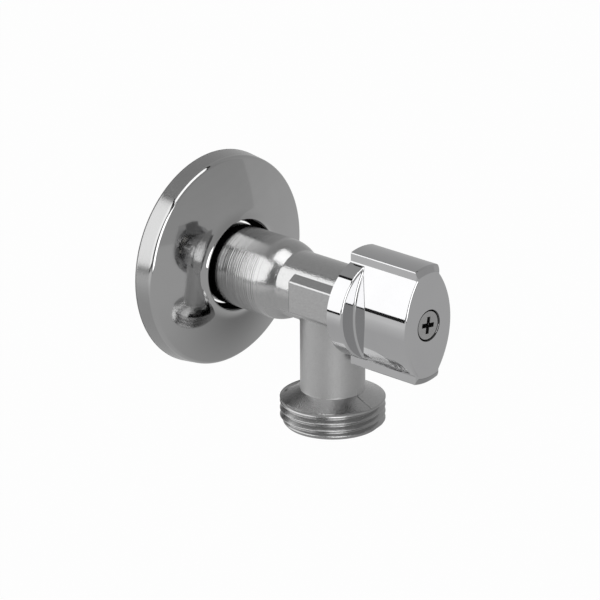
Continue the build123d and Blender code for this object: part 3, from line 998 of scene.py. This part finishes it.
@dataclass
class WallPlate:
    """Pressed plate as one spun sheet: drafted rim, rounded corner, dome and flared hub.

    Args:
        rim: Radius of the rim at the wall.
        corner: Radius where the rim's line meets the dome's.
        rim_height: Station of that meeting.
        corner_round: Radius of the rounded corner.
        dome_slope: Slope of the dome at its corner.
        flare_from: Radius where the hub's flare leaves the dome.
        mouth: Radius of the hub's mouth.
        mouth_reach: Station of the hub's mouth.
        sheet: Thickness of the sheet.
        bore_depth: Depth of the straight bore behind the mouth.
        guide: Radius of the guide at the bore's foot, close round the tube.
        rows: Points along the rim, the corner, the dome with its flare and the lip.
        around: Points about the axis.
        finish: Finish of the plate.
    """

    rim: float = 27.7 * MM
    corner: float = 27.1 * MM
    rim_height: float = 5.1 * MM
    corner_round: float = 1.3 * MM
    dome_slope: float = 0.385
    flare_from: float = 15.0 * MM
    mouth: float = 12.2 * MM
    mouth_reach: float = 10.0 * MM
    sheet: float = 0.5 * MM
    bore_depth: float = 3.0 * MM
    guide: float = 10.75 * MM
    rows: tuple[int, int, int, int] = (8, 20, 110, 12)
    around: int = 200
    finish: RimmedPlating = RimmedPlating("plate_chrome")

    def skin(self) -> np.ndarray:
        """Outer profile from the wall to the hub's mouth, as radius and station.

        The corner is an arc that touches the rim's line and the dome's. The dome falls with the square
        of the radius, and the flare adds the cube of the way from its start to the mouth.

        Returns:
            Array of shape (n, 2).
        """
        rim_rows, corner_rows, dome_rows, _ = self.rows
        rise = math.atan2(self.rim_height, self.corner - self.rim)
        fall = math.atan2(self.dome_slope, -1.0)
        inward = np.array([(-math.sin(rise), math.cos(rise)), (-math.sin(fall), math.cos(fall))])
        shift = self.corner_round * inward.sum(axis=0) / (1 + inward[0] @ inward[1])
        centre = np.array([self.corner, self.rim_height]) + shift
        bend = arc(tuple(centre), self.corner_round, rise - math.pi / 2, fall - math.pi / 2, corner_rows)
        line = np.linspace((self.rim, 0.0), bend[0], rim_rows)[:-1]
        start, foot = bend[-1]
        radius = np.linspace(start, self.mouth, dome_rows)[1:]
        dome = foot + self.dome_slope * (start ** 2 - radius ** 2) / (2 * start)
        way = np.clip((self.flare_from - radius) / (self.flare_from - self.mouth), 0, 1)
        station = dome + (self.mouth_reach - dome[-1]) * way ** 3
        return np.concatenate([line, bend, np.stack([radius, station], axis=-1)])

    def build(self) -> bpy.types.Object:
        """Spins the sheet: the skin, a round lip, a folded bore, a guide and the skin's offset.

        The offset lies one sheet inside the skin along the skin's normal, the lip turns about the middle
        of the sheet's end until it heads for the wall, the bore runs straight back from there, and the
        guide steps in from its foot towards the tube.

        Returns:
            The new piece.
        """
        skin = self.skin()
        run = np.gradient(skin, axis=0)
        run /= np.linalg.norm(run, axis=1, keepdims=True)
        inward = np.stack([-run[:, 1], run[:, 0]], axis=-1)
        inner = skin + self.sheet * inward
        inner[0, 1] = 0.0
        out = math.atan2(-inward[-1, 1], -inward[-1, 0])
        middle = (skin[-1] + inner[-1]) / 2
        lip = arc(tuple(middle), self.sheet / 2, out, math.pi, self.rows[-1])[1:]
        bore, top = lip[-1]
        foot = top - self.bore_depth
        back = foot - self.sheet
        fold = [(bore, foot), (self.guide, foot), (self.guide, back), (bore + self.sheet, back)]
        behind = inner[inner[:, 0] > bore + 2 * self.sheet][::-1]
        profile = np.concatenate([skin, lip, fold, [(bore + self.sheet, top - self.sheet)], behind])
        spun = turn_profile(profile, self.around, looped=True)
        piece = show("escutcheon_spun", spun.mesh("escutcheon_spun"))
        piece.data.materials.append(self.finish.material())
        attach(piece, Body.PLATE.value)
        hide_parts("escutcheon")
        return piece


@dataclass
class Dressing:
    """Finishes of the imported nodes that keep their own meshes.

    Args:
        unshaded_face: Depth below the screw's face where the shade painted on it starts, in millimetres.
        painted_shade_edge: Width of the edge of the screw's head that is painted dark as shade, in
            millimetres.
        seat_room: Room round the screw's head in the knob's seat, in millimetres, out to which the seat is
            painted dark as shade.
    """

    unshaded_face: float = 0.08
    painted_shade_edge: float = 0.2
    seat_room: float = 0.28

    def finishes(self) -> dict[str, object]:
        """Finish of each node, with the screw's head taken from the frame.

        Returns:
            The finishes by node.
        """
        low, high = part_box("knob_screw")
        head, face = high[0] / MM, -low[1] / MM
        # The screw's recess, its flank under the knob's face and its head's edge are painted dark as shade
        painted_shade = {"painted_shade_to": face - self.unshaded_face, "painted_shade_from": head - self.painted_shade_edge}
        rubber = (0.03, 0.03, 0.032)
        ceramic = (0.88, 0.86, 0.82)
        return {
            # The knob's seat round the screw's head is painted dark as shade
            "knob": Plating("knob_chrome", 0.58, 0.04, 0.004, 0.12, head + self.seat_room),
            "knob_screw": TurnedMetal("screw_steel", (0.5, 0.5, 0.5), 0.28, **painted_shade),
            "headwork_body": TurnedMetal("headwork_nickel", (0.5, 0.48, 0.43)),
            "spindle": TurnedMetal("spindle_brass", (0.7, 0.5, 0.23)),
            "spindle_clip": TurnedMetal("clip_steel", (0.42, 0.42, 0.43), 0.3),
            "headwork_seal_ring": Moulding("flange_rubber", rubber, 0.55, 0.006),
            "spindle_ring_lower": Moulding("ring_rubber", rubber, 0.5, 0.006),
            "spindle_ring_upper": Moulding("ring_rubber_upper", rubber, 0.5, 0.006),
            "disc_seal": Moulding("seat_rubber", (0.04, 0.04, 0.04), 0.55, 0.008),
            "slide_washer": Moulding("washer_plastic", (0.82, 0.81, 0.77), 0.35, 0.004),
            "seal_support": Moulding("support_plastic", (0.78, 0.77, 0.72), 0.4, 0.004),
            "turning_disc": Moulding("disc_ceramic", ceramic, 0.18, 0.001),
            "fixed_disc": Moulding("seat_ceramic", ceramic, 0.18, 0.001),
        }

    def dress(self) -> None:
        """Gives each node its own finish."""
        for node, finish in self.finishes().items():
            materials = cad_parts[node].data.materials
            materials.clear()
            materials.append(finish.material())
            LOG.info("dressed %s in %s", node, finish.name)


@dataclass(frozen=True)
class Card:
    """Flat studio card or soft box that faces the valve, seen in reflections and not by the camera.

    Args:
        name: Name of the card.
        towards: Direction from the valve to the card's middle.
        up: Rough direction of the card's height.
        size: Width and height.
        away: Distance from the valve.
        glow: Brightness of the card, 1 being white.
        rim: Width of its black frame.
        rim_glow: Brightness of that frame.
    """

    name: str
    towards: tuple[float, float, float]
    up: tuple[float, float, float]
    size: tuple[float, float]
    away: float
    glow: float
    rim: float = 0.0
    rim_glow: float = 0.02

    def build(self) -> bpy.types.Object:
        """Builds the card as a grid with a bright middle and a dark frame.

        A point is middle + across * u + height * v, for u and v at the frame's outer and inner edges.

        Returns:
            The card, hidden from the camera.
        """
        out = np.array(self.towards) / np.linalg.norm(self.towards)
        height = np.array(self.up) - out * np.dot(self.up, out)
        height /= np.linalg.norm(height)
        across = np.cross(out, height)
        half = np.array(self.size) / 2
        u = np.array([-half[0] - self.rim, -half[0], half[0], half[0] + self.rim])
        v = np.array([-half[1] - self.rim, -half[1], half[1], half[1] + self.rim])
        middle = np.array(VIEW_CENTRE) + out * self.away
        points = middle + u[None, :, None] * across + v[:, None, None] * height
        mesh = Surface(points).mesh(self.name)
        glow = np.full((3, 3), self.rim_glow)
        glow[1, 1] = self.glow
        return stage_glow(self.name, mesh, glow.ravel())


def stage_glow(
    name: str, mesh: bpy.types.Mesh, glow: np.ndarray, over: GlowOver = GlowOver.FACES
) -> bpy.types.Object:
    """Shows a mesh as a glowing part of the stage that the camera doesn't see.

    Args:
        name: Name of the object.
        mesh: Its mesh.
        glow: Brightness of each face or point.
        over: Which of the two it is.

    Returns:
        The stage object.
    """
    attribute = mesh.attributes.new("glow", "FLOAT", over.value)
    attribute.data.foreach_set("value", glow.astype(np.float32))
    material, graph, surface = new_material(name + "_glow")
    level = graph.add("Attribute", attribute_name="glow")
    light = graph.add("Emission")
    graph.feed(light, "Strength", level.outputs["Fac"])
    output = material.node_tree.nodes["Material Output"]
    graph.feed(output, "Surface", light.outputs["Emission"])
    material.node_tree.nodes.remove(surface)
    mesh.materials.append(material)
    card = show(name, mesh)
    card.visible_camera = False
    return card


@dataclass
class Studio:
    """White floor and background, a grey tent, soft boxes and cards.

    Args:
        world_light: Strength of the world as a light, 1 being what the eye is shown.
        floor_drop: Depth of the floor below the valve's axis.
        floor_half: Half of the floor's side.
        floor_grey: Colour of the floor.
        floor_roughness: Roughness of the floor.
        floor_white: Share of plain white in what the eye is shown of the floor.
        tent_radius: Radius of the tent.
        tent_rows: Points of the tent from its foot to its top.
        tent_columns: Points round the tent.
        tent_cover: Share of the half turn from foot to top that the tent covers.
        tent_grey: Brightness of the tent at the valve's height.
        tent_fall: Share of that brightness lost from there to the top.
        tent_panel: Bearings in degrees between which a panel is darker.
        tent_panel_share: Brightness of that panel as a share of the rest.
        card_half: Half of the floor card's side.
        card_points: Points along that side.
        card_height: Height of the floor card above the floor.
        card_grey: Brightness of the floor card.
        card_shadow: Brightness in the middle of its dark spot, the valve's painted shadow.
        card_pale: Brightness of its pale end, a painted pool of light.
        card_pale_from: Distance towards -X and +Y where it starts to grow pale.
        card_pale_run: Length over which it does.
        card_shadow_spot: Place of the painted shadow's dark spot along X and Y.
        card_shadow_spot_width: Distance at which the painted shadow has faded to 1 / e.
        cards: Soft boxes and flags.
    """

    world_light: float = 0.7
    floor_drop: float = 0.25
    floor_half: float = 6.0
    floor_grey: float = 0.9
    floor_roughness: float = 0.9
    floor_white: float = 0.97
    tent_radius: float = 2.2
    tent_rows: int = 49
    tent_columns: int = 96
    tent_cover: float = 0.999
    tent_grey: float = 0.52
    tent_fall: float = 0.3
    tent_panel: tuple[float, float] = (-12.0, 52.0)
    tent_panel_share: float = 0.86
    card_half: float = 2.3
    card_points: int = 185
    card_height: float = 0.05
    card_grey: float = 0.54
    card_shadow: float = 0.25
    card_pale: float = 0.8
    card_pale_from: float = 0.3
    card_pale_run: float = 0.4
    card_shadow_spot: tuple[float, float] = (0.22, -0.17)
    card_shadow_spot_width: float = 0.13
    cards: tuple[Card, ...] = (
        Card("side_soft_box", (-0.727, 0.550, 0.430), (0.504, 0.0, 0.844), (1.73, 1.13), 1.0, 1.7, 0.1),
        Card("top_soft_box", (-0.05, -0.17, 0.98), (0.0, 1.0, 0.0), (0.84, 0.75), 1.0, 2.0, 0.1),
        Card("front_soft_box", (-0.586, -0.749, 0.309), (0.0, 0.0, 1.0), (0.78, 1.12), 1.2, 2.8, 0.05),
        Card("dark_flag", (-0.908, -0.150, 0.391), (0.0, 0.0, 1.0), (0.96, 1.12), 1.2, 0.2),
    )

    def white_rays(self, graph: NodeGraph) -> bpy.types.NodeSocket:
        """Value that is 1 for the rays that are shown the white background.

        Args:
            graph: Graph of the material or world that uses it.

        Returns:
            The value output.
        """
        path = graph.add("LightPath")
        seen = path.outputs[Ray.CAMERA.value]
        for ray in (Ray.GLOSSY, Ray.TRANSMISSION):
            seen = graph.math("MAXIMUM", seen, path.outputs[ray.value])
        return seen

    def build_world(self) -> None:
        """World that is white to the eye and soft grey as a light."""
        world = bpy.data.worlds.new("studio_world")
        world.use_nodes = True
        bpy.context.scene.world = world
        graph = NodeGraph(world.node_tree)
        background = world.node_tree.nodes["Background"]
        graph.feed(background, "Color", (1.0, 1.0, 1.0, 1.0))
        graph.feed(background, "Strength", graph.spread(self.white_rays(graph), self.world_light, 1.0))

    def build_floor(self) -> bpy.types.Object:
        """Pale floor below the valve: white to the eye, with the valve's shadow kept in part.

        Returns:
            The floor.
        """
        line = np.linspace(-self.floor_half, self.floor_half, 2)
        x, y = np.meshgrid(line, line)
        points = np.stack([x, y, np.full_like(x, -self.floor_drop)], axis=-1)
        floor = show("studio_floor", Surface(points).mesh("studio_floor"))
        material, graph, surface = new_material("floor_white")
        graph.feed(surface, "Base Color", (self.floor_grey,) * 3 + (1.0,))
        graph.feed(surface, "Roughness", self.floor_roughness)
        light = graph.add("Emission")
        mix = graph.add("MixShader")
        graph.feed(mix, 0, graph.math("MULTIPLY", self.white_rays(graph), self.floor_white))
        graph.feed(mix, 1, surface.outputs["BSDF"])
        graph.feed(mix, 2, light.outputs["Emission"])
        graph.feed(material.node_tree.nodes["Material Output"], "Surface", mix.outputs["Shader"])
        floor.data.materials.append(material)
        return floor

    def build_tent(self) -> bpy.types.Object:
        """Grey tent round the set, a sphere over azimuth and elevation, brighter low down than above.

        One panel in front, between two bearings measured from -Y towards +X, is darker than the rest.

        Returns:
            The tent, hidden from the camera.
        """
        azimuth = np.linspace(0, 2 * np.pi, self.tent_columns, endpoint=False)[None, :]
        elevation = np.linspace(-0.5, 0.5, self.tent_rows)[:, None] * np.pi * self.tent_cover
        ring = np.cos(elevation) * self.tent_radius
        height = np.broadcast_to(np.sin(elevation) * self.tent_radius, (self.tent_rows, self.tent_columns))
        points = np.stack([ring * np.cos(azimuth), ring * np.sin(azimuth), height], axis=-1)
        surface = Surface(points, closed=True)
        mesh = surface.mesh("light_tent")
        middles = points.reshape(-1, 3)[surface.faces()].mean(axis=1)
        bearing = np.degrees(np.arctan2(middles[:, 0], -middles[:, 1]))
        panel = (bearing > self.tent_panel[0]) & (bearing < self.tent_panel[1])
        glow = self.tent_grey * (1 - self.tent_fall * middles[:, 2] / self.tent_radius)
        return stage_glow("light_tent", mesh, np.where(panel, glow * self.tent_panel_share, glow))

    def build_floor_card(self) -> bpy.types.Object:
        """Grey sheet just over the floor, a square grid with the valve's shadow painted on it as a dark
        spot, and painted paler at its far left as a pool of light.

        The spot fades like a bell curve and the pale end by a straight step towards -X and +Y.

        Returns:
            The sheet, hidden from the camera.
        """
        line = np.linspace(-self.card_half, self.card_half, self.card_points)
        x, y = np.meshgrid(line, line)
        points = np.stack([x, y, np.full_like(x, self.card_height - self.floor_drop)], axis=-1)
        mesh = Surface(points).mesh("floor_card")
        # The valve's shadow, painted on the card as a dark spot
        away = np.hypot(x - self.card_shadow_spot[0], y - self.card_shadow_spot[1])
        spot = np.exp(-(away / self.card_shadow_spot_width) ** 2)
        # The far left painted paler as a pool of light
        reach = (y - x) * math.sqrt(0.5)
        far = np.clip((reach - self.card_pale_from) / self.card_pale_run, 0, 1)
        dark = (self.card_shadow - self.card_grey) * spot
        pale = (self.card_pale - self.card_grey) * far
        glow = self.card_grey + dark + pale
        return stage_glow("floor_card", mesh, glow.ravel(), GlowOver.POINTS)

    def build(self) -> None:
        """Builds the world, the floor, the tent and the cards."""
        self.build_world()
        self.build_floor()
        self.build_tent()
        self.build_floor_card()
        for card in self.cards:
            card.build()
            LOG.info("set up %s", card.name)


@dataclass
class PhotoCamera:
    """Camera at the photograph's place.

    Args:
        azimuth: Turn about +Z in degrees, zero looking along +Y.
        elevation: Height above the horizon in degrees.
        roll: Turn about the line of sight in degrees.
        aim: Sideways and upward offset of the frame's middle, in metres.
        away: Distance along the line of sight.
        lens: Focal length for the sensor's width, in millimetres.
        sensor: Width of the sensor, in millimetres.
        nearest: Distance from which the camera sees.
    """

    azimuth: float = -46.935
    elevation: float = 20.837
    roll: float = -0.215
    aim: tuple[float, float] = (22.118 * MM, -11.275 * MM)
    away: float = 1014.206 * MM
    lens: float = 240.0
    sensor: float = 36.0
    nearest: float = 0.01

    def axes(self) -> np.ndarray:
        """Camera's right, up and back directions.

        Back is a turn and a lift from -Y, right lies level, up is their cross product, and the roll
        leans right and up about back.

        Returns:
            Array of shape (3, 3), with the directions as its columns.
        """
        turn, lift, roll = np.radians([self.azimuth, self.elevation, self.roll])
        back = np.array([np.sin(turn) * np.cos(lift), -np.cos(turn) * np.cos(lift), np.sin(lift)])
        right = np.array([np.cos(turn), np.sin(turn), 0.0])
        up = np.cross(back, right)
        leaned_right = right * np.cos(roll) + up * np.sin(roll)
        leaned_up = up * np.cos(roll) - right * np.sin(roll)
        return np.stack([leaned_right, leaned_up, back], axis=1)

    def build(self) -> bpy.types.Object:
        """Makes the camera and sets it as the scene's.

        Returns:
            The camera.
        """
        axes = self.axes()
        place = axes @ np.array([*self.aim, self.away])
        lens = bpy.data.cameras.new("photo_camera")
        lens.sensor_width = self.sensor
        lens.lens = self.lens
        lens.clip_start = self.nearest
        camera = bpy.data.objects.new("photo_camera", lens)
        matrix = np.eye(4)
        matrix[:3, :3] = axes
        matrix[:3, 3] = place
        camera.matrix_world = Matrix(matrix.tolist())
        bpy.context.scene.collection.objects.link(camera)
        bpy.context.scene.camera = camera
        return camera


def main() -> None:
    """Builds every piece in order, then the studio and the camera."""
    logging.basicConfig(level=logging.INFO, format="%(name)s: %(message)s")
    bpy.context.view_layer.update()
    bpy.context.scene.view_settings.view_transform = "Standard"
    for part in (ValveBody(), WallPlate()):
        LOG.info("built %s", part.build().name)
    Dressing().dress()
    Studio().build()
    PhotoCamera().build()


if __name__ == "__main__":
    main()
